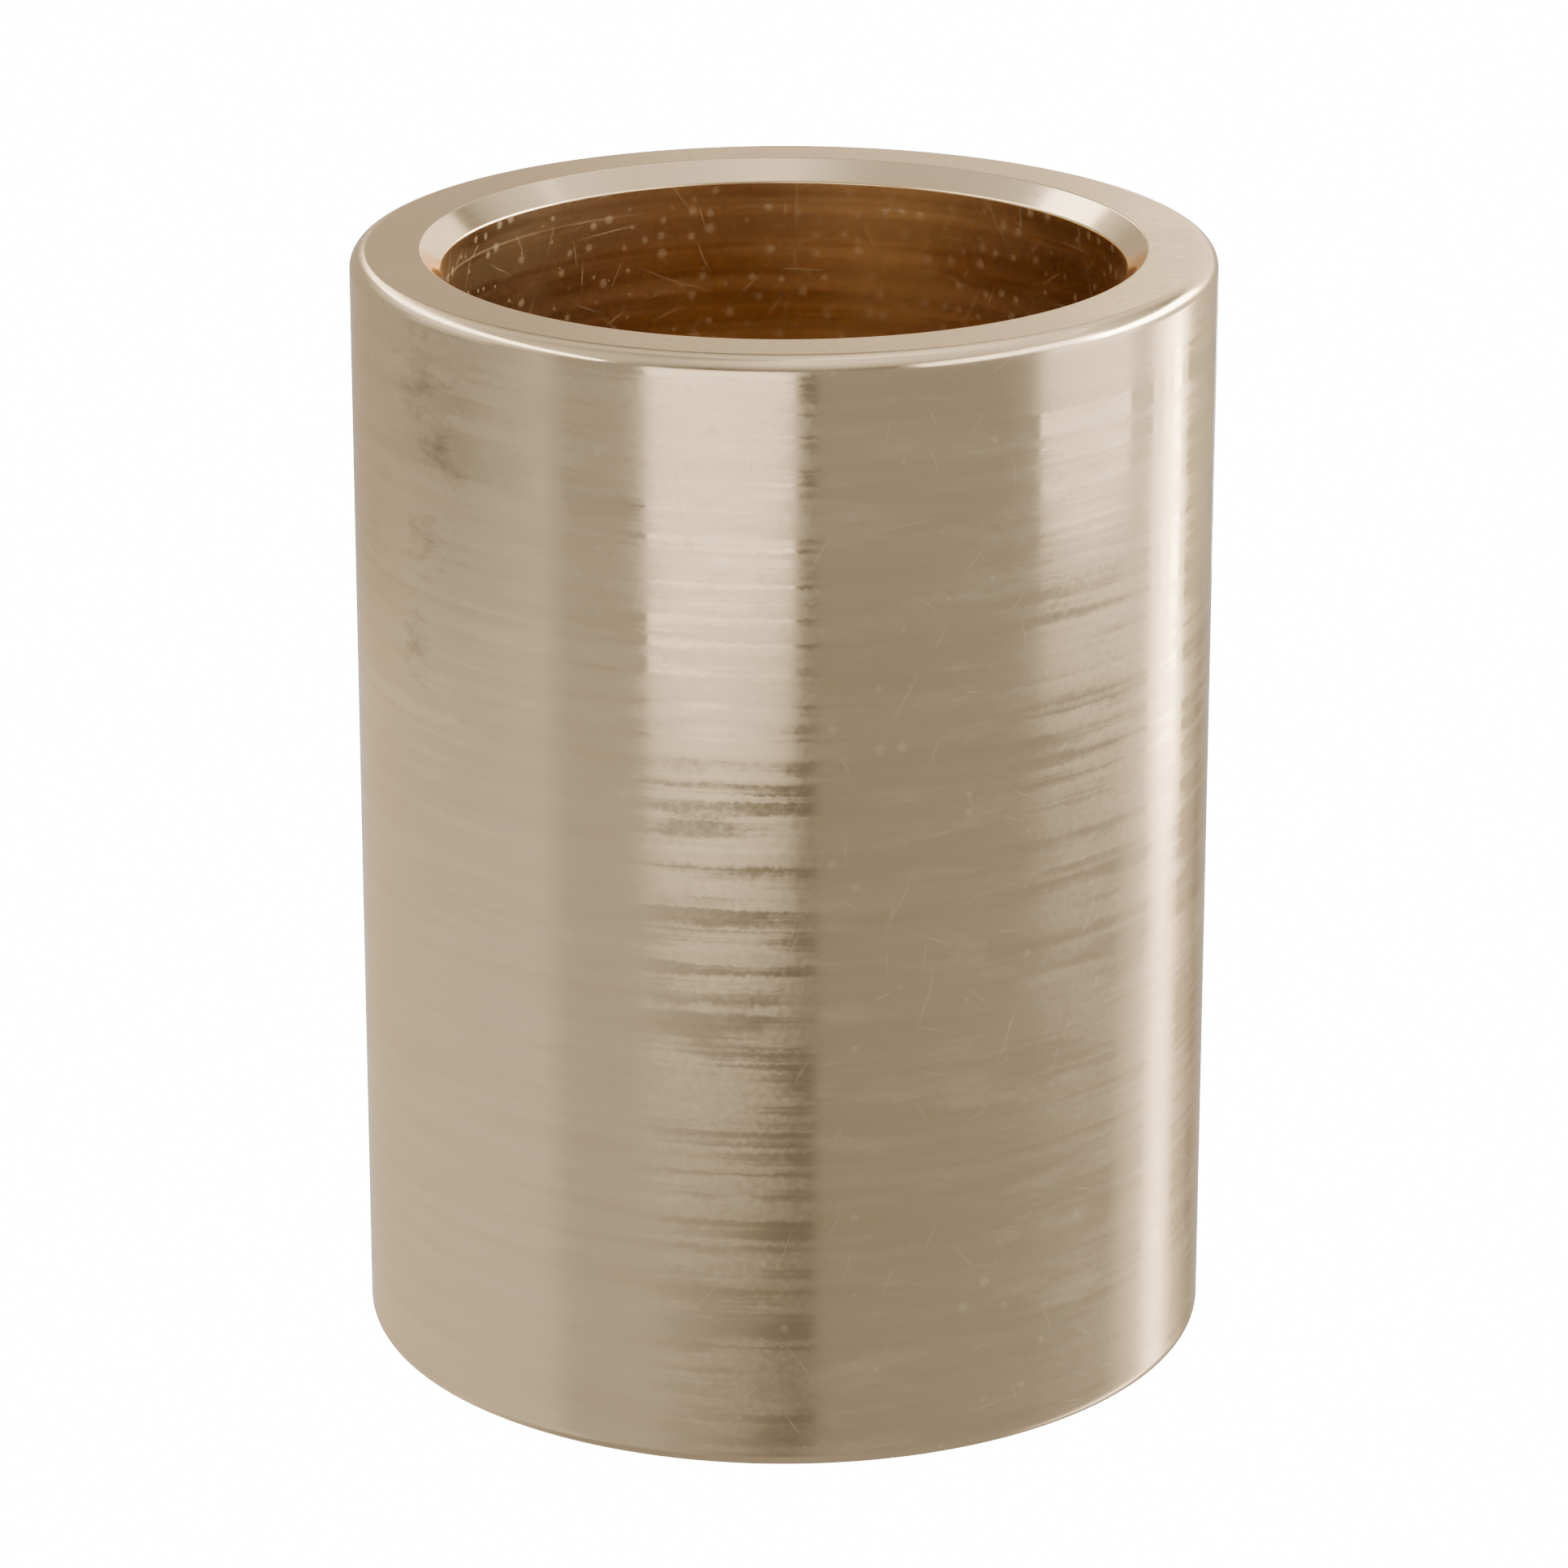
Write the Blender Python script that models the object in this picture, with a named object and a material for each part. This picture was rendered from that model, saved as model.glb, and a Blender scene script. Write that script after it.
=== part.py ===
"""A plain bronze sleeve bushing: one turned piece, in metres, +Z along the bore.

The origin is the centre of the lower end face. A housing grips the outside wall, a shaft
runs in the bore, and the end faces are flat. Run it with blender --background --python
part.py, or from Blender's text editor.
"""

from math import cos, pi, sin

import bmesh
import bpy
from mathutils import Vector

# Driving dimensions, in metres. Each of them can be changed by itself.
BORE_DIAMETER = 0.030
WALL = 0.004
LENGTH = 0.050
OUTER_EDGE_RADIUS = 0.0008
BORE_CHAMFER = 0.0009

# How finely the round surfaces are divided.
SEGMENTS = 128
EDGE_STEPS = 5

SHARP_ANGLE = pi / 6

bore_radius = BORE_DIAMETER / 2
outer_radius = bore_radius + WALL


def clear_scene():
    """Empties the scene, so that the bushing is all that it holds."""
    for ob in list(bpy.data.objects):
        bpy.data.objects.remove(ob, do_unlink=True)


def bronze():
    """Turned bearing bronze: a warm grey-brown metal with a satin finish."""
    mat = bpy.data.materials.new("turned_bronze")
    mat.use_nodes = True
    shader = mat.node_tree.nodes["Principled BSDF"]
    shader.inputs["Base Color"].default_value = (0.70, 0.52, 0.31, 1.0)
    shader.inputs["Metallic"].default_value = 1.0
    shader.inputs["Roughness"].default_value = 0.16
    return mat


def edge_arc(radius, height, start):
    """A quarter round of the outer edge about (radius, height), from the angle start onwards."""
    turns = (start + pi / 2 * i / EDGE_STEPS for i in range(EDGE_STEPS + 1))
    return [
        (radius + OUTER_EDGE_RADIUS * cos(t), height + OUTER_EDGE_RADIUS * sin(t))
        for t in turns
    ]


def wall_section():
    """The outline of one side of the wall as (radius, height), anticlockwise from the lower
    end of the bore: out along the lower face, up the outside, in along the top, down the bore.
    """
    mouth = bore_radius + BORE_CHAMFER
    arc_radius = outer_radius - OUTER_EDGE_RADIUS
    return [
        (mouth, 0.0),
        *edge_arc(arc_radius, OUTER_EDGE_RADIUS, -pi / 2),
        *edge_arc(arc_radius, LENGTH - OUTER_EDGE_RADIUS, 0.0),
        (mouth, LENGTH),
        (bore_radius, LENGTH - BORE_CHAMFER),
        (bore_radius, BORE_CHAMFER),
    ]


def turned(name, section, material):
    """An object made by turning a closed section once round the Z axis."""
    bm = bmesh.new()
    verts = [bm.verts.new((radius, 0.0, height)) for radius, height in section]
    edges = [
        bm.edges.new((vert, verts[(i + 1) % len(verts)]))
        for i, vert in enumerate(verts)
    ]
    bmesh.ops.spin(
        bm,
        geom=verts + edges,
        cent=Vector((0, 0, 0)),
        axis=Vector((0, 0, 1)),
        angle=2 * pi,
        steps=SEGMENTS,
        use_merge=True,
    )
    bmesh.ops.recalc_face_normals(bm, faces=bm.faces)
    mesh = bpy.data.meshes.new(name)
    bm.to_mesh(mesh)
    bm.free()
    mesh.materials.append(material)
    mesh.shade_smooth()
    mesh.set_sharp_from_angle(angle=SHARP_ANGLE)
    ob = bpy.data.objects.new(name, mesh)
    bpy.context.scene.collection.objects.link(ob)
    return ob


clear_scene()
turned("bushing_sleeve", wall_section(), bronze())
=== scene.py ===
"""The looks of a turned bronze sleeve bushing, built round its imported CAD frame.

Metres, +Z along the bore, origin at the centre of the lower end face, camera on the -Y side.
The CAD sleeve stays as the frame, and one finely turned sleeve of the same size stands for
it. Azimuths are in degrees from the camera's side (-Y) towards +X, elevations from the level.
"""

from math import atan2, ceil, cos, pi, radians, sin

import bpy
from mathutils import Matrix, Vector


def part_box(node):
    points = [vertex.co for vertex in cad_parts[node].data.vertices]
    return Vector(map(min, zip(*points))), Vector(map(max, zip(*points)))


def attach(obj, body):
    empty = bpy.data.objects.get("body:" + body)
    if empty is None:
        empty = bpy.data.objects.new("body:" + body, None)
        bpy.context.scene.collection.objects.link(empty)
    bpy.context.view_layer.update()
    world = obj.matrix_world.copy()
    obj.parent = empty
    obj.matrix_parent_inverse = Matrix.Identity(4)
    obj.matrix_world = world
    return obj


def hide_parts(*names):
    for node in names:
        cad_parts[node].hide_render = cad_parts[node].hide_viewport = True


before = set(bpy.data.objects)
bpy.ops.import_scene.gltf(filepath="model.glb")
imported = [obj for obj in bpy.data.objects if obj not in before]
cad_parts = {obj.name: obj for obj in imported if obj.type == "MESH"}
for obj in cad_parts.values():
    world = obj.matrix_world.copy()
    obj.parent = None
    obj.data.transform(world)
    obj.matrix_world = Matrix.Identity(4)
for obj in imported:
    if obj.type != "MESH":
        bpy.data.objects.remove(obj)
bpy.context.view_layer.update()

NODE = "bushing_sleeve"

# The sleeve. Its outside radius and its length come from the frame.
WALL = 0.004
OUTER_EDGE_RADIUS = 0.0008
BORE_CHAMFER = 0.0009
FACE_EDGE_BREAK = 0.00012
BORE_EDGE_BREAK = 0.0002

# How finely it is turned.
SEGMENTS = 384
ARC_STEP = radians(6)
WALL_ROW = 0.001

# The metal, where it is clean, dull, bright or stained, and the dust that lies on it.
BRONZE = (0.70, 0.518, 0.31, 1.0)
DULL = (0.675, 0.498, 0.293, 1.0)
BRIGHT = (0.725, 0.538, 0.327, 1.0)
STAIN = (0.36, 0.275, 0.17, 1.0)
# The bore's two colours: the bronze darker and deeper in tone, painted shade for the dim light
# inside the bore.
BORE_DULL_SHADED = (0.57, 0.40, 0.205, 1.0)
BORE_BRIGHT_SHADED = (0.74, 0.53, 0.285, 1.0)
# The dust's colour. In the bore it also paints the lighter band and line at each mouth and
# faint lighter rings: painted highlight for light caught by a small step and machining ridges.
DUST_AND_HIGHLIGHT_COLOUR = (0.45, 0.35, 0.26, 1.0)
EDGE_TINT = (1.0, 0.85, 0.67, 1.0)

# The sizes of the textures. A pair is how long they are round the sleeve, and how high. A
# ring is far longer than the way round, so it isn't broken anywhere.
GRAIN = 0.0003
TOOTH = (0.0002, 0.001)
WEAR = (0.009, 0.003)
CLOUD = (0.006, 0.0015)
STAIN_STREAK = (0.0016, 0.0006)
ALL_ROUND = 0.6
RELIEF_RING = 0.0009
# The height of the painted highlight rings in the bore.
HIGHLIGHT_RING = 0.0012
LINE_PIECE = 0.004

# Marks: the cells that they lie in, and how far their edge is from their middle at most.
SPECK = (0.0010, 0.00028)
SCRATCHES = ((0.0045, 0.00006), (0.0020, 0.00005))
SMALLEST_SPECK = 0.25
SCRATCH_BEND = 0.06

# The noise values between which each texture goes from none to all. Noise lies round 0.5.
# The gloss adds up two noises: the cuts, and the wear in its own share.
WEAR_SHARE = 0.8
GLOSS_RANGE = (0.78, 0.92)
PATCH_RANGE = (0.42, 0.60)
THIN_PATCH = 0.6
HAZE_RANGE = (0.54, 0.72)
RING_RANGE = (0.42, 0.68)
LINE_RANGE = (0.42, 0.56)

# Stains on the outside: azimuth, height and reach. A stain's depth falls from its middle
# outwards, and the streaks take away from it, so that its edges are ragged.
STAINS = (
    (-54, 0.0468, 0.0036),
    (-50, 0.0440, 0.0030),
    (-53, 0.0398, 0.0029),
    (-56, 0.0350, 0.0024),
    (-150, 0.0180, 0.0034),
)
STAIN_DEPTH = 0.22
STREAK_DEPTHS = (-0.25, 0.01)
FULL_STAIN = 0.25
STAIN_STRENGTH = 0.9
GRAIN_SHADE = 0.25

# The lighter band inside each mouth of the bore and the brighter line at its end: painted
# highlight in the dust colour, for the light that a small step below each chamfer catches.
# How strong it is on the band and on the line, how strong the painted highlight rings are,
# and how much of all but the rings the +X side gets compared with -X.
MOUTH_BAND = 0.00115
MOUTH_LINE = 0.00008
BAND_HIGHLIGHT = 0.014
LINE_HIGHLIGHT = 0.22
RING_HIGHLIGHT = 0.012
FAR_SIDE_SHARE = 0.6

# The Mix node's sockets for colours: the share and the two colours, and the result.
MIX_INPUTS = (0, 6, 7)
MIX_OUTPUT = 2

# The camera.
CAMERA_DISTANCE = 0.29218
CAMERA_ELEVATION = radians(19.104)
AIM_HEIGHT = 0.025
SENSOR_MM = 36.0
LENS_MM = 149.13
NEAR_CLIP = 0.01

# The studio. Light takes many turns in the bore before it comes out.
BACKDROP_RADIUS = 1.2
BACKDROP_COVE = 0.8
BACKDROP_HEIGHT = 2.4
BACKDROP_SIDES = 64
BACKDROP_GLOW = 16.0
COVE_STEPS = 24
PANEL_DISTANCE = 1.2
BOUNCES = 12

low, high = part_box(NODE)
outer_radius = (high.x - low.x) / 2
bore_radius = outer_radius - WALL
bottom, top = low.z, high.z


def linked(name, data):
    """A new object in the scene."""
    ob = bpy.data.objects.new(name, data)
    bpy.context.scene.collection.objects.link(ob)
    return ob


# ---------------------------------------------------------------- the turned section


def section_corners():
    """The corners of one side of the wall as (radius, height, rounding), anticlockwise."""
    mouth = bore_radius + BORE_CHAMFER
    return [
        (bore_radius, top - BORE_CHAMFER, BORE_EDGE_BREAK),
        (bore_radius, bottom + BORE_CHAMFER, BORE_EDGE_BREAK),
        (mouth, bottom, FACE_EDGE_BREAK),
        (outer_radius, bottom, OUTER_EDGE_RADIUS),
        (outer_radius, top, OUTER_EDGE_RADIUS),
        (mouth, top, FACE_EDGE_BREAK),
    ]


def outward(start, end):
    """The outward unit normal of a side of an anticlockwise outline."""
    side = Vector((end[0] - start[0], end[1] - start[1])).normalized()
    return Vector((side.y, -side.x))


def rounded_section(corners):
    """The outline's points and their normals, with an arc in place of each corner."""
    outline = []
    for i, (radius, height, rounding) in enumerate(corners):
        before = outward(corners[i - 1], corners[i])
        after = outward(corners[i], corners[(i + 1) % len(corners)])
        centre = Vector((radius, height)) - (before + after) * rounding / (1 + before.dot(after))
        start = atan2(before.y, before.x)
        turn = (atan2(after.y, after.x) - start) % (2 * pi)
        steps = ceil(turn / ARC_STEP)
        for step in range(steps + 1):
            angle = start + turn * step / steps
            normal = Vector((cos(angle), sin(angle)))
            outline.append((centre + normal * rounding, normal))
    return outline


def neighbours(ring):
    """Each item of a closed ring with the next one, and the last with the first."""
    return list(zip(ring, ring[1:] + ring[:1]))


def with_rows(outline):
    """The closed outline again, with its long straight sides divided into rows."""
    rows = []
    for (point, normal), (after, _) in neighbours(outline):
        count = max(1, round((after - point).length / WALL_ROW))
        rows += [(point.lerp(after, i / count), normal) for i in range(count)]
    return rows


ZONES = ("wall", "face", "chamfer", "bore")
TEXTURE_SHARE = {"wall": 0.54, "face": 0.08, "chamfer": 0.04, "bore": 0.34}
UV_MAP = "OFBake"


def zone(start, end):
    """Which finish the turned strip between two outline points has.

    The wall's finish goes on over the outer edges, over half the width of their rounding.
    """
    middle = (start + end) / 2
    if middle.x < bore_radius + BORE_EDGE_BREAK / 4:
        return ZONES.index("bore")
    if middle.x < bore_radius + BORE_CHAMFER:
        return ZONES.index("chamfer")
    if middle.x > outer_radius - OUTER_EDGE_RADIUS / 2 and abs(end.y - start.y) > 0:
        return ZONES.index("wall")
    return ZONES.index("face")


def strip_edges(rows, strips):
    """The UV height of every row, so that each zone fills its share of the texture."""
    lengths = [(after[0] - this[0]).length for this, after in neighbours(rows)]
    total = [0.0] * len(ZONES)
    for strip, length in zip(strips, lengths):
        total[strip] += length
    edges = [0.0]
    for strip, length in zip(strips, lengths):
        edges.append(edges[-1] + TEXTURE_SHARE[ZONES[strip]] * length / total[strip])
    return edges


def turned_sleeve(name, materials):
    """The sleeve as a closed mesh of quads, with exact normals and one UV strip per row."""
    rows = with_rows(rounded_section(section_corners()))
    strips = [zone(this[0], after[0]) for this, after in neighbours(rows)]
    edges = strip_edges(rows, strips)
    angles = [pi / 2 + 2 * pi * i / SEGMENTS for i in range(SEGMENTS)]
    verts = [
        (point.x * cos(a), point.x * sin(a), point.y) for point, _ in rows for a in angles
    ]
    normals = [
        (normal.x * cos(a), normal.x * sin(a), normal.y) for _, normal in rows for a in angles
    ]
    faces = []
    zones = []
    flat = []
    for r, strip in enumerate(strips):
        this, after = r * SEGMENTS, (r + 1) % len(rows) * SEGMENTS
        lower, upper = edges[r], edges[r + 1]
        for i in range(SEGMENTS):
            j = (i + 1) % SEGMENTS
            faces.append((this + i, this + j, after + j, after + i))
            zones.append(strip)
            left, right = i / SEGMENTS, (i + 1) / SEGMENTS
            flat += [left, lower, right, lower, right, upper, left, upper]
    mesh = bpy.data.meshes.new(name)
    mesh.from_pydata(verts, [], faces)
    for material in materials:
        mesh.materials.append(material)
    mesh.polygons.foreach_set("material_index", zones)
    mesh.uv_layers.new(name=UV_MAP).data.foreach_set("uv", flat)
    mesh.shade_smooth()
    mesh.normals_split_custom_set_from_vertices(normals)
    mesh.validate()
    return linked(name, mesh)


# ---------------------------------------------------------------- materials


class Nodes:
    """A short way to add nodes to a tree: sockets by name, links or values alike."""

    def __init__(self, tree):
        self.tree = tree

    def add(self, kind, settings=None, **sockets):
        made = self.tree.nodes.new(kind)
        for name, value in (settings or {}).items():
            setattr(made, name, value)
        for name, value in sockets.items():
            self.put(made.inputs[name.replace("_", " ")], value)
        return made

    def put(self, socket, value):
        if isinstance(value, bpy.types.NodeSocket):
            self.tree.links.new(value, socket)
        else:
            socket.default_value = value

    def math(self, operation, *values, clamp=False):
        made = self.add("ShaderNodeMath", {"operation": operation, "use_clamp": clamp})
        for socket, value in zip(made.inputs, values):
            self.put(socket, value)
        return made.outputs[0]

    def vector(self, operation, first, second, output="Vector"):
        made = self.add("ShaderNodeVectorMath", {"operation": operation})
        self.put(made.inputs[0], first)
        self.put(made.inputs[1], second)
        return made.outputs[output]

    def xyz(self, vector):
        return self.add("ShaderNodeSeparateXYZ", Vector=vector).outputs

    def joined(self, **parts):
        return self.add("ShaderNodeCombineXYZ", **parts).outputs[0]

    def noise(self, vector, detail=2.0, roughness=0.5):
        made = self.add("ShaderNodeTexNoise", Scale=1.0, Detail=detail, Roughness=roughness)
        self.put(made.inputs["Vector"], vector)
        return made.outputs["Fac"]

    def span(self, value, low, high, to_low, to_high):
        made = self.add("ShaderNodeMapRange", Value=value, From_Min=low, From_Max=high)
        self.put(made.inputs["To Min"], to_low)
        self.put(made.inputs["To Max"], to_high)
        return made.outputs["Result"]

    def mix(self, share, first, second):
        made = self.add("ShaderNodeMix", {"data_type": "RGBA"})
        for socket, value in zip(MIX_INPUTS, (share, first, second)):
            self.put(made.inputs[socket], value)
        return made.outputs[MIX_OUTPUT]

    def azimuth(self, x, y):
        """The azimuth in radians from the camera's side (-Y) towards +X."""
        return self.math("ARCTAN2", x, self.math("MULTIPLY", y, -1.0))


def around(nodes, place, round_size, height):
    """Noise space in which a feature is round_size long round the sleeve and height high."""
    return nodes.vector("MULTIPLY", place, (1 / round_size, 1 / round_size, 1 / height))


def even(nodes, place, size):
    """Noise space in which a feature has the same size every way."""
    return around(nodes, place, size, size)


def unrolled(nodes, place, radius):
    """The place on a turned wall as (arc from the camera's side, height)."""
    x, y, z = nodes.xyz(place)
    return nodes.joined(X=nodes.math("MULTIPLY", nodes.azimuth(x, y), radius), Y=z)


def ragged(nodes, place, reach):
    """The place with its height shifted up and down, so that rings get ragged edges."""
    teeth = nodes.noise(around(nodes, place, *TOOTH), detail=3.0, roughness=0.6)
    shift = nodes.joined(Z=nodes.span(teeth, 0.0, 1.0, -reach, reach))
    return nodes.vector("ADD", place, shift)


def cells(nodes, space):
    """Flat Voronoi cells: their distance, two random draws a cell and the cell's own point."""
    made = nodes.add("ShaderNodeTexVoronoi", {"voronoi_dimensions": "2D"}, Scale=1.0)
    nodes.put(made.inputs["Vector"], space)
    draws = nodes.add("ShaderNodeSeparateColor", Color=made.outputs["Color"]).outputs
    return made.outputs["Distance"], draws, made.outputs["Position"]


def specks(nodes, flat, spacing, size, share):
    """Round spots of up to the given size in a share of the cells, soft at their edges."""
    distance, draws, _ = cells(nodes, even(nodes, flat, spacing))
    chosen = nodes.math("LESS_THAN", draws[0], share)
    largest = size / spacing
    reach = nodes.span(draws[1], 0.0, 1.0, SMALLEST_SPECK * largest, largest)
    spot = nodes.math("SUBTRACT", 1.0, nodes.math("DIVIDE", distance, reach), clamp=True)
    return nodes.math("MULTIPLY", chosen, nodes.span(spot, 0.0, 0.5, 0.0, 1.0))


def scratches(nodes, flat, spacing, width, share):
    """Short fine scratches, one at most in a cell, each at an angle of its own."""
    straight = even(nodes, flat, spacing)
    bend = nodes.span(nodes.noise(straight, detail=1.0), 0.3, 0.7, -SCRATCH_BEND, SCRATCH_BEND)
    space = nodes.vector("ADD", straight, nodes.joined(X=bend))
    _, draws, point = cells(nodes, space)
    turned = nodes.add(
        "ShaderNodeVectorRotate",
        {"rotation_type": "Z_AXIS"},
        Vector=nodes.vector("SUBTRACT", space, point),
        Angle=nodes.math("MULTIPLY", draws[1], 2 * pi),
    )
    along, across, _ = nodes.xyz(turned.outputs[0])
    widest = width / spacing
    thin = nodes.span(nodes.math("ABSOLUTE", across), 0.3 * widest, widest, 1.0, 0.0)
    ends = nodes.span(nodes.math("ABSOLUTE", along), 0.1, 0.45, 1.0, 0.0)
    chosen = nodes.math("LESS_THAN", draws[0], share)
    return nodes.math("MULTIPLY", nodes.math("MULTIPLY", thin, ends), chosen)


def stains(nodes, place):
    """How stained the outside is: streaky patches round the places in STAINS."""
    streaks = nodes.noise(around(nodes, place, *STAIN_STREAK), detail=4.0, roughness=0.7)
    ragged_edge = nodes.span(streaks, 0.3, 0.7, *STREAK_DEPTHS)
    total = 0.0
    for azimuth, height, reach in STAINS:
        side = radians(azimuth)
        centre = (outer_radius * sin(side), -outer_radius * cos(side), bottom + height)
        gap = nodes.vector("DISTANCE", place, centre, output="Value")
        area = nodes.span(gap, 0.1 * reach, reach, STAIN_DEPTH, 0.0)
        total = nodes.math("MAXIMUM", total, nodes.math("ADD", area, ragged_edge))
    return nodes.span(total, 0.0, FULL_STAIN, 0.0, STAIN_STRENGTH)


def bore_dust_and_highlights(nodes, place, marks):
    """Dust and painted highlight in the bore: dust marks, and a lighter band at each mouth
    ending in a brighter line and faint lighter rings, which are painted highlight in the dust
    colour.

    All of it but the rings is stronger on the -X side.
    """
    x, _, height = nodes.xyz(place)
    side = nodes.span(x, -bore_radius, bore_radius / 3, 1.0, FAR_SIDE_SHARE)
    middle = (bottom + top) / 2
    away = nodes.math("ABSOLUTE", nodes.math("SUBTRACT", height, middle))
    edge = (top - bottom) / 2 - BORE_CHAMFER - MOUTH_BAND
    band = nodes.span(away, edge - MOUTH_LINE, edge + MOUTH_LINE, 0.0, BAND_HIGHLIGHT)
    near = nodes.math("ABSOLUTE", nodes.math("SUBTRACT", away, edge))
    line = nodes.span(near, 0.0, MOUTH_LINE, LINE_HIGHLIGHT, 0.0)
    broken = nodes.noise(even(nodes, place, LINE_PIECE), detail=3.0)
    line = nodes.math("MULTIPLY", line, nodes.span(broken, *LINE_RANGE, 0.0, 1.0))
    rings = nodes.noise(
        around(nodes, place, ALL_ROUND, HIGHLIGHT_RING), detail=3.0, roughness=0.6
    )
    ringed = nodes.span(rings, *RING_RANGE, 0.0, RING_HIGHLIGHT)
    dust_and_highlight = nodes.math("ADD", nodes.math("ADD", band, line), marks)
    return nodes.math("MULTIPLY_ADD", dust_and_highlight, side, ringed)


def gloss(nodes, place, torn, grain, smooth, rough, cut_height, mottle):
    """Roughness that changes from cut to cut between smooth and rough, and with the grain."""
    cuts = nodes.noise(
        around(nodes, torn, ALL_ROUND, cut_height), detail=3.0, roughness=0.65
    )
    worn = nodes.noise(around(nodes, place, *WEAR), detail=3.0, roughness=0.55)
    evenness = nodes.math("MULTIPLY_ADD", worn, WEAR_SHARE, cuts)
    finish = nodes.span(evenness, *GLOSS_RANGE, smooth, rough)
    return nodes.math("ADD", finish, nodes.span(grain, 0.25, 0.75, -mottle, mottle))


def streaked(nodes, torn, grain, dull, bright, length, height, shift, reach):
    """Colour in streaks between dull and bright, and dull again in the grain."""
    shifted = nodes.vector("ADD", torn, (0.0, 0.0, shift))
    streaks = nodes.noise(around(nodes, shifted, length, height), detail=4.0)
    colour = nodes.mix(nodes.span(streaks, *reach, 0.0, 1.0), dull, bright)
    return nodes.mix(nodes.span(grain, 0.3, 0.7, GRAIN_SHADE, 0.0), colour, dull)


def dust_on(nodes, torn, flat, speck_share, scratch_share, haze, marks_show):
    """How thick the dust lies: specks and scratches, weaker in patches, and a cloudy haze."""
    cloud = nodes.noise(around(nodes, torn, *CLOUD), detail=5.0, roughness=0.65)
    marks = specks(nodes, flat, *SPECK, speck_share)
    for spacing, width in SCRATCHES:
        found = scratches(nodes, flat, spacing, width, scratch_share)
        marks = nodes.math("MAXIMUM", marks, found)
    patches = nodes.span(cloud, *PATCH_RANGE, THIN_PATCH, 1.0)
    dust = nodes.math("MULTIPLY", nodes.math("MULTIPLY", marks, marks_show), patches)
    return nodes.math("MAXIMUM", dust, nodes.span(cloud, *HAZE_RANGE, 0.0, haze))


def bronze(
    name, dull, bright, smooth, rough, cut_height, teeth, relief_depth, mottle,
    speck_share, scratch_share, haze, marks_show, streak_length=0.012,
    streak_height=0.0007, streak_shift=0.0, streak_range=(0.35, 0.65), radius=None,
    stained=False, bored=False,
):
    """Turned bronze with streaks of colour and gloss, dust on it, and fine rings in it.

    Lengths are in metres. teeth is how far the cuts' edges stray, mottle how much the grain
    changes the roughness, haze and marks_show how thick the dust is at most, and radius that
    of the wall that it is on, or None on a nearly flat zone.
    """
    mat = bpy.data.materials.new(name)
    mat.use_nodes = True
    nodes = Nodes(mat.node_tree)
    shader = mat.node_tree.nodes["Principled BSDF"]
    place = nodes.add("ShaderNodeTexCoord").outputs["Object"]
    flat = unrolled(nodes, place, radius) if radius else place
    torn = ragged(nodes, place, teeth)
    grain = nodes.noise(even(nodes, place, GRAIN), detail=3.0, roughness=0.6)

    colour = streaked(nodes, torn, grain, dull, bright, streak_length, streak_height,
                      streak_shift, streak_range)
    if stained:
        colour = nodes.mix(stains(nodes, place), colour, STAIN)
    dust = dust_on(nodes, torn, flat, speck_share, scratch_share, haze, marks_show)
    # In the bore, painted highlight joins the dust: the lighter mouth bands and lines and faint
    # rings.
    if bored:
        dust = bore_dust_and_highlights(nodes, place, dust)
    rings = nodes.noise(around(nodes, place, ALL_ROUND, RELIEF_RING), detail=1.0)
    relief = nodes.add("ShaderNodeBump", Strength=1.0, Distance=relief_depth, Height=rings)
    finish = gloss(nodes, place, torn, grain, smooth, rough, cut_height, mottle)

    nodes.put(shader.inputs["Base Color"], nodes.mix(dust, colour, DUST_AND_HIGHLIGHT_COLOUR))
    nodes.put(shader.inputs["Metallic"], nodes.math("SUBTRACT", 1.0, dust))
    shader.inputs["Specular Tint"].default_value = EDGE_TINT
    nodes.put(shader.inputs["Roughness"], finish)
    nodes.put(shader.inputs["Normal"], relief.outputs["Normal"])
    return mat


def turned_wall():
    """The outside: the glossiest zone, streaked, hazy, scratched and stained."""
    return bronze(
        "turned_wall", DULL, BRIGHT, smooth=0.07, rough=0.175, cut_height=0.0009,
        teeth=0.00018, relief_depth=0.000003, mottle=0.028, speck_share=0.06,
        scratch_share=0.40, haze=0.14, marks_show=0.19, radius=outer_radius, stained=True,
    )


def faced_end():
    """The end faces and the inner part of their rounded edges: an even, grained satin."""
    return bronze(
        "faced_end", DULL, BRIGHT, smooth=0.19, rough=0.22, cut_height=0.002, teeth=0.0,
        relief_depth=0.000001, mottle=0.05, speck_share=0.06, scratch_share=0.15,
        haze=0.0, marks_show=0.10,
    )


def turned_chamfer():
    """The chamfers at the mouths: clean and bright."""
    return bronze(
        "turned_chamfer", BRONZE, BRIGHT, smooth=0.12, rough=0.15, cut_height=0.0003,
        teeth=0.0, relief_depth=0.000001, mottle=0.01, speck_share=0.05,
        scratch_share=0.05, haze=0.0, marks_show=0.1,
    )


def bored_inside():
    """The bore: darker, its colour painted shade for the dim inside, ringed all the way round,
    with the most dust and scratches.
    """
    return bronze(
        "bored_inside", BORE_DULL_SHADED, BORE_BRIGHT_SHADED, smooth=0.20, rough=0.26,
        cut_height=0.0015, teeth=0.0001, relief_depth=0.000003, mottle=0.005,
        speck_share=0.70, scratch_share=0.70, haze=0.01, marks_show=0.32,
        streak_length=0.25, streak_height=0.0012, streak_shift=-0.002,
        streak_range=(0.42, 0.60), radius=bore_radius, bored=True,
    )


# ---------------------------------------------------------------- the studio


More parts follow.
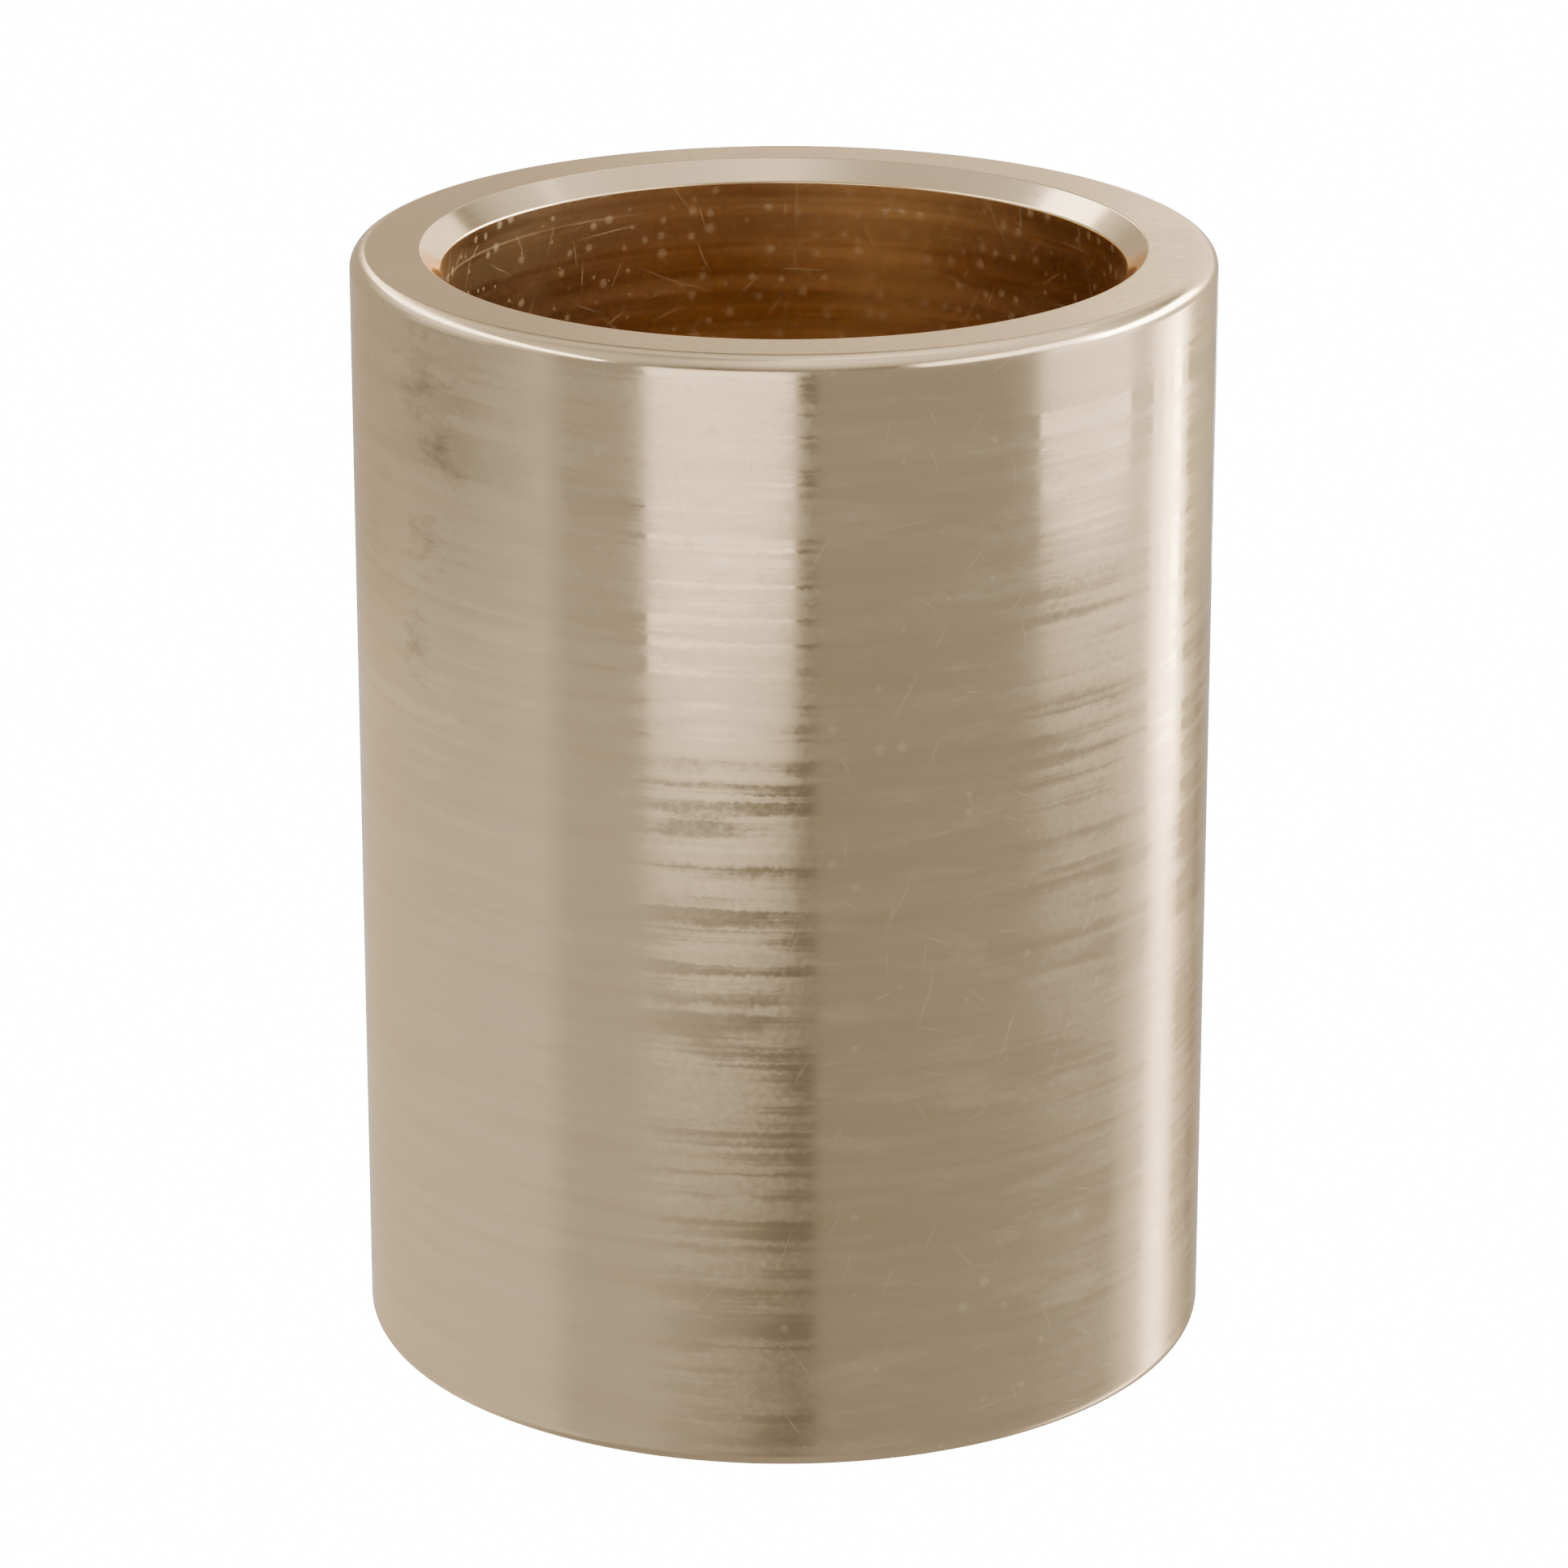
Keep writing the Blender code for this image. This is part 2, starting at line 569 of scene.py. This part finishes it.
def camera():
    """The camera, level with the photograph's view: a long lens on the -Y side."""
    data = bpy.data.cameras.new("camera")
    data.sensor_width = SENSOR_MM
    data.lens = LENS_MM
    data.clip_start = NEAR_CLIP
    ob = linked("camera", data)
    reach = Vector((0, -cos(CAMERA_ELEVATION), sin(CAMERA_ELEVATION))) * CAMERA_DISTANCE
    ob.location = Vector((0, 0, AIM_HEIGHT)) + reach
    ob.rotation_euler = (-reach).to_track_quat("-Z", "Y").to_euler()
    bpy.context.scene.camera = ob


def glowing(name, strength):
    """A surface that only shines."""
    mat = bpy.data.materials.new(name)
    mat.use_nodes = True
    mat.node_tree.nodes.clear()
    nodes = Nodes(mat.node_tree)
    glow = nodes.add("ShaderNodeEmission", Strength=strength)
    nodes.add("ShaderNodeOutputMaterial", Surface=glow.outputs[0])
    return mat


def backdrop():
    """A pale floor that curves up into a pale wall all round. Only the camera sees it."""
    rise = [pi / 2 * i / COVE_STEPS for i in range(COVE_STEPS + 1)]
    section = [
        (BACKDROP_RADIUS + BACKDROP_COVE * sin(a), bottom + BACKDROP_COVE * (1 - cos(a)))
        for a in rise
    ]
    section.append((BACKDROP_RADIUS + BACKDROP_COVE, BACKDROP_HEIGHT))
    angles = [2 * pi * i / BACKDROP_SIDES for i in range(BACKDROP_SIDES)]
    verts = [(r * cos(a), r * sin(a), z) for r, z in section for a in angles]
    faces = [tuple(range(BACKDROP_SIDES)), tuple(range(len(verts) - BACKDROP_SIDES, len(verts)))]
    for row in range(len(section) - 1):
        this, after = row * BACKDROP_SIDES, (row + 1) * BACKDROP_SIDES
        for i in range(BACKDROP_SIDES):
            j = (i + 1) % BACKDROP_SIDES
            faces.append((this + i, this + j, after + j, after + i))
    mesh = bpy.data.meshes.new("floor")
    mesh.from_pydata(verts, [], faces)
    mesh.materials.append(glowing("pale_floor", BACKDROP_GLOW))
    ob = linked("floor", mesh)
    for ray in ("diffuse", "glossy", "transmission", "volume_scatter", "shadow"):
        setattr(ob, "visible_" + ray, False)


def panel(name, azimuth, across, up, radiance):
    """A flat lamp that faces the sleeve's axis from the given azimuth.

    across and up are its edges as slopes from the middle of the sleeve: across sideways
    (towards greater azimuth) and up upwards, both over the distance to the lamp's plane.
    """
    facing = radians(azimuth)
    away = Vector((sin(facing), -cos(facing), 0))
    side = Vector((cos(facing), sin(facing), 0))
    middle_across, middle_up = sum(across) / 2, sum(up) / 2
    width = (across[1] - across[0]) * PANEL_DISTANCE
    height = (up[1] - up[0]) * PANEL_DISTANCE
    light = bpy.data.lights.new(name, "AREA")
    light.shape = "RECTANGLE"
    light.size = width
    light.size_y = height
    light.energy = radiance * pi * width * height
    ob = linked(name, light)
    ob.location = (
        away + side * middle_across + Vector((0, 0, middle_up))
    ) * PANEL_DISTANCE + Vector((0, 0, AIM_HEIGHT))
    ob.rotation_euler = away.to_track_quat("Z", "Y").to_euler()
    ob.visible_camera = False


# Each lamp's azimuth, its left and right edge, its lower and upper edge, and its radiance.
PANELS = (
    ("left_strip", -105, (-2.12, 1.45), (0.64, 0.93), 6.2),
    ("left_window", -94, (-0.34, 0.22), (0.07, 0.41), 0.4),
    ("right_strip", 68, (-0.63, 0.59), (0.29, 0.72), 3.9),
    ("right_softbox", 112, (-0.44, 0.50), (0.17, 0.44), 24.0),
    ("right_far_strip", 155, (-0.42, 0.39), (0.04, 0.45), 1.6),
    ("back_glow", 180, (-0.09, 0.035), (0.20, 0.38), 0.5),
    ("back_lamp", 171, (-0.07, 0.09), (-0.30, -0.18), 2.8),
    ("front_window", -17, (-0.34, 0.36), (-0.33, 0.35), 2.25),
    ("right_window", 86, (-0.28, 0.31), (-0.29, 0.26), 1.8),
    ("low_lamp", 124, (-0.18, 0.17), (-0.35, -0.12), 2.2),
    ("low_lamp_middle", 124.5, (-0.09, 0.09), (-0.34, -0.13), 3.6),
    ("low_lamp_core", 126.5, (-0.03, 0.05), (-0.32, -0.14), 7.5),
    ("thin_strip", 125, (-0.47, 0.45), (1.07, 1.19), 0.9),
)

# The room's radiance by azimuth, from -180 (behind) through 0 (the camera's side), in five
# bands: below the floor, the floor, the walls, the upper walls and the ceiling.
BELOW = ((-180, 0.5), (0, 0.5))
FLOOR = (
    (-180, 0.97), (-150, 1.04), (-68, 0.96), (-60, 0.71), (-38, 0.69), (-12, 0.42),
    (-5, 0.32), (1, 0.26), (7, 0.28), (10, 0.44), (70, 0.50), (100, 0.64), (115, 1.6),
    (125, 5.7), (135, 1.3), (150, 0.55), (165, 0.68),
)
WALLS = (
    (-180, 0.94), (-165, 0.70), (-120, 0.63), (-95, 0.51), (-75, 0.72), (-66, 0.88),
    (-59, 0.57), (-40, 0.55), (1, 0.50), (3.5, 0.30), (7.5, 0.30), (10, 0.50), (60, 0.51),
    (92, 1.02), (108, 1.64), (145, 1.07), (165, 0.65),
)
UPPER_WALLS = (
    (-180, 0.12), (-150, 1.2), (-120, 1.6), (-75, 1.64), (-45, 0.75), (-20, 0.15),
    (10, 0.49), (30, 0.36), (60, 0.55), (100, 1.58), (140, 0.46), (165, 1.4),
)
CEILING = ((-180, 1.5), (-120, 0.64), (-60, 0.95), (0, 1.95), (90, 1.42), (150, 2.4))

# Each band above the lowest, with the elevations between which it takes over.
BANDS = (
    (FLOOR, -60, -45),
    (WALLS, -18, -17),
    (UPPER_WALLS, 13, 23),
    (CEILING, 27, 75),
)

# A ramp's colours stay under 1, so the radiances are divided by this and multiplied again.
ROOM_SCALE = 6.0


def band(nodes, turn, stops):
    """A band of the room, as radiance over azimuth, joined up behind."""
    ramp = nodes.add("ShaderNodeValToRGB", Fac=turn)
    elements = ramp.color_ramp.elements
    points = list(stops) + [(180, stops[0][1])]
    for i, (azimuth, radiance) in enumerate(points):
        place = azimuth / 360 + 0.5
        element = elements[i] if i < 2 else elements.new(place)
        element.position = place
        element.color = (*(radiance / ROOM_SCALE,) * 3, 1.0)
    return ramp.outputs["Color"]


def room():
    """The plain room round the lamps, as five soft bands one above the other."""
    world = bpy.data.worlds.new("room")
    bpy.context.scene.world = world
    world.use_nodes = True
    nodes = Nodes(world.node_tree)
    x, y, z = nodes.xyz(nodes.add("ShaderNodeTexCoord").outputs["Generated"])
    turn = nodes.math("MULTIPLY_ADD", nodes.azimuth(x, y), 1 / (2 * pi), 0.5)
    light = band(nodes, turn, BELOW)
    for stops, start, end in BANDS:
        share = nodes.span(z, sin(radians(start)), sin(radians(end)), 0.0, 1.0)
        light = nodes.mix(share, light, band(nodes, turn, stops))
    shell = world.node_tree.nodes["Background"]
    nodes.put(shell.inputs["Color"], light)
    shell.inputs["Strength"].default_value = ROOM_SCALE


# ---------------------------------------------------------------- putting it together

camera()
backdrop()
room()
for values in PANELS:
    panel(*values)

sleeve = turned_sleeve(
    "turned_sleeve", [turned_wall(), faced_end(), turned_chamfer(), bored_inside()]
)
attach(sleeve, "root")
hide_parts(NODE)

bpy.context.scene.cycles.glossy_bounces = BOUNCES
bpy.context.scene.cycles.max_bounces = BOUNCES
